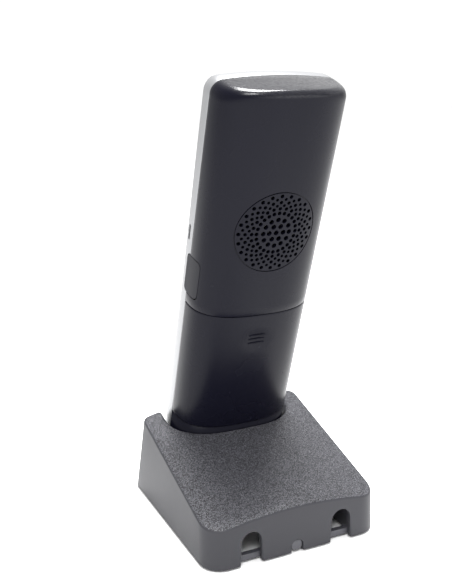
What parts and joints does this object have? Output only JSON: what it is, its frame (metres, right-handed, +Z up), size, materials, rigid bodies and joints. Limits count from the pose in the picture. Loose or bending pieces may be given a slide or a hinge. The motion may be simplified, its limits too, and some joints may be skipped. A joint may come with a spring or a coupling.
{
  "type": "cordless phone with base",
  "caption": "Slim cordless telephone handset leaning back in a wedge-shaped charging base with cable notches; sprung keys, lift-off battery door and side socket cover.",
  "frame": {"origin": "on the floor under the middle of the base's bounding box", "axes": "+Z up, +Y towards the rear of the base and the battery door, +X to the user's right; the keypad faces -Y"},
  "size_m": [0.0732, 0.0804, 0.1753],
  "materials": {
    "charcoal": "smooth satin charcoal plastic",
    "base_grey": "dark grey plastic, fine spark-eroded grain on top",
    "black_plastic": "plain black moulded plastic",
    "silver": "silver-white paint, satin",
    "rubber": "matte black rubber",
    "key_grey": "satin key caps",
    "green_key": "satin green key",
    "red_key": "satin red key",
    "board_green": "solder resist",
    "steel": "nickel-plated steel",
    "gold": "gold-plated contact",
    "smoked_lens": "smoked clear plastic",
    "cell_sleeve": "shrink sleeve",
    "panel_grey": "display panel"
  },
  "bodies": {
    "base": {"base_top_shell": "base_grey", "base_bottom_cover": "black_plastic", "base_board": "board_green", "dc_inlet": "black_plastic", "line_socket": "black_plastic", "base_screw_1": "steel", "base_screw_2": "steel", "base_screw_3": "steel", "base_screw_4": "steel", "base_foot_1": "rubber", "base_foot_2": "rubber", "base_foot_3": "rubber", "base_foot_4": "rubber"},
    "handset": {"rear_cover": "charcoal", "side_band": "silver", "front_cover": "charcoal", "display_lens": "smoked_lens", "display_module": "panel_grey", "keypad_mat": "rubber", "main_board": "board_green", "loudspeaker": "black_plastic", "earpiece": "steel", "microphone": "steel", "headset_jack": "black_plastic", "battery_cell_left": "cell_sleeve", "battery_cell_right": "cell_sleeve", "battery_link_plate": "steel", "battery_contact_left": "steel", "battery_contact_right": "steel", "handset_contact_left": "gold", "handset_contact_right": "gold", "handset_screw_1": "steel", "handset_screw_2": "steel", "handset_screw_3": "steel", "handset_screw_4": "steel"},
    "battery_door": {"battery_door": "charcoal"},
    "jack_cover": {"jack_cover": "rubber"},
    "charge_pin_left": {"charge_pin_left": "gold"},
    "charge_pin_right": {"charge_pin_right": "gold"},
    "nav_rocker": {"nav_rocker": "silver"},
    "key_1": {"key_1": "key_grey"},
    "key_2": {"key_2": "key_grey"},
    "key_3": {"key_3": "key_grey"},
    "key_4": {"key_4": "key_grey"},
    "key_5": {"key_5": "key_grey"},
    "key_6": {"key_6": "key_grey"},
    "key_7": {"key_7": "key_grey"},
    "key_8": {"key_8": "key_grey"},
    "key_9": {"key_9": "key_grey"},
    "key_star": {"key_star": "key_grey"},
    "key_0": {"key_0": "key_grey"},
    "key_hash": {"key_hash": "key_grey"},
    "softkey_left": {"softkey_left": "key_grey"},
    "softkey_right": {"softkey_right": "key_grey"},
    "talk_key": {"talk_key": "green_key"},
    "end_key": {"end_key": "red_key"},
    "ok_key": {"ok_key": "key_grey"}
  },
  "joints": [
    {"name": "handset_lift", "type": "slide", "parent": "base", "child": "handset", "axis": [0, 0.3097, 0.9508], "range_m": [0, 0.06]},
    {"name": "battery_door_off", "type": "slide", "parent": "handset", "child": "battery_door", "axis": [0, 0.9508, -0.3097], "range_m": [0, 0.025]},
    {"name": "jack_cover_hinge", "type": "hinge", "parent": "handset", "child": "jack_cover", "pos_m": [0.025, -0.0032, 0.10227], "axis": [0, -0.3097, -0.9508], "range_deg": [0, 100]},
    {"name": "nav_rocker_tilt", "type": "hinge", "parent": "handset", "child": "nav_rocker", "pos_m": [0, -0.00797, 0.09924], "axis": [1, 0, 0], "range_deg": [-3, 3], "stiffness_Nm_per_rad": 0.012},
    {"name": "charge_pin_left_press", "type": "slide", "parent": "base", "child": "charge_pin_left", "axis": [0, -0.3097, -0.9508], "range_m": [0, 0.0015], "stiffness_N_per_m": 200},
    {"name": "charge_pin_right_press", "type": "slide", "parent": "base", "child": "charge_pin_right", "axis": [0, -0.3097, -0.9508], "range_m": [0, 0.0015], "stiffness_N_per_m": 200},
    {"name": "key_1_press", "type": "slide", "parent": "handset", "child": "key_1", "axis": [0, 0.9508, -0.3097], "range_m": [0, 0.0008], "stiffness_N_per_m": 300},
    {"name": "key_2_press", "type": "slide", "parent": "handset", "child": "key_2", "axis": [0, 0.9508, -0.3097], "range_m": [0, 0.0008], "stiffness_N_per_m": 300},
    {"name": "key_3_press", "type": "slide", "parent": "handset", "child": "key_3", "axis": [0, 0.9508, -0.3097], "range_m": [0, 0.0008], "stiffness_N_per_m": 300},
    {"name": "key_4_press", "type": "slide", "parent": "handset", "child": "key_4", "axis": [0, 0.9508, -0.3097], "range_m": [0, 0.0008], "stiffness_N_per_m": 300},
    {"name": "key_5_press", "type": "slide", "parent": "handset", "child": "key_5", "axis": [0, 0.9508, -0.3097], "range_m": [0, 0.0008], "stiffness_N_per_m": 300},
    {"name": "key_6_press", "type": "slide", "parent": "handset", "child": "key_6", "axis": [0, 0.9508, -0.3097], "range_m": [0, 0.0008], "stiffness_N_per_m": 300},
    {"name": "key_7_press", "type": "slide", "parent": "handset", "child": "key_7", "axis": [0, 0.9508, -0.3097], "range_m": [0, 0.0008], "stiffness_N_per_m": 300},
    {"name": "key_8_press", "type": "slide", "parent": "handset", "child": "key_8", "axis": [0, 0.9508, -0.3097], "range_m": [0, 0.0008], "stiffness_N_per_m": 300},
    {"name": "key_9_press", "type": "slide", "parent": "handset", "child": "key_9", "axis": [0, 0.9508, -0.3097], "range_m": [0, 0.0008], "stiffness_N_per_m": 300},
    {"name": "key_star_press", "type": "slide", "parent": "handset", "child": "key_star", "axis": [0, 0.9508, -0.3097], "range_m": [0, 0.0008], "stiffness_N_per_m": 300},
    {"name": "key_0_press", "type": "slide", "parent": "handset", "child": "key_0", "axis": [0, 0.9508, -0.3097], "range_m": [0, 0.0008], "stiffness_N_per_m": 300},
    {"name": "key_hash_press", "type": "slide", "parent": "handset", "child": "key_hash", "axis": [0, 0.9508, -0.3097], "range_m": [0, 0.0008], "stiffness_N_per_m": 300},
    {"name": "softkey_left_press", "type": "slide", "parent": "handset", "child": "softkey_left", "axis": [0, 0.9508, -0.3097], "range_m": [0, 0.0008], "stiffness_N_per_m": 300},
    {"name": "softkey_right_press", "type": "slide", "parent": "handset", "child": "softkey_right", "axis": [0, 0.9508, -0.3097], "range_m": [0, 0.0008], "stiffness_N_per_m": 300},
    {"name": "talk_key_press", "type": "slide", "parent": "handset", "child": "talk_key", "axis": [0, 0.9508, -0.3097], "range_m": [0, 0.0008], "stiffness_N_per_m": 300},
    {"name": "end_key_press", "type": "slide", "parent": "handset", "child": "end_key", "axis": [0, 0.9508, -0.3097], "range_m": [0, 0.0008], "stiffness_N_per_m": 300},
    {"name": "ok_key_press", "type": "slide", "parent": "handset", "child": "ok_key", "axis": [0, 0.9508, -0.3097], "range_m": [0, 0.0008], "stiffness_N_per_m": 300}
  ]
}
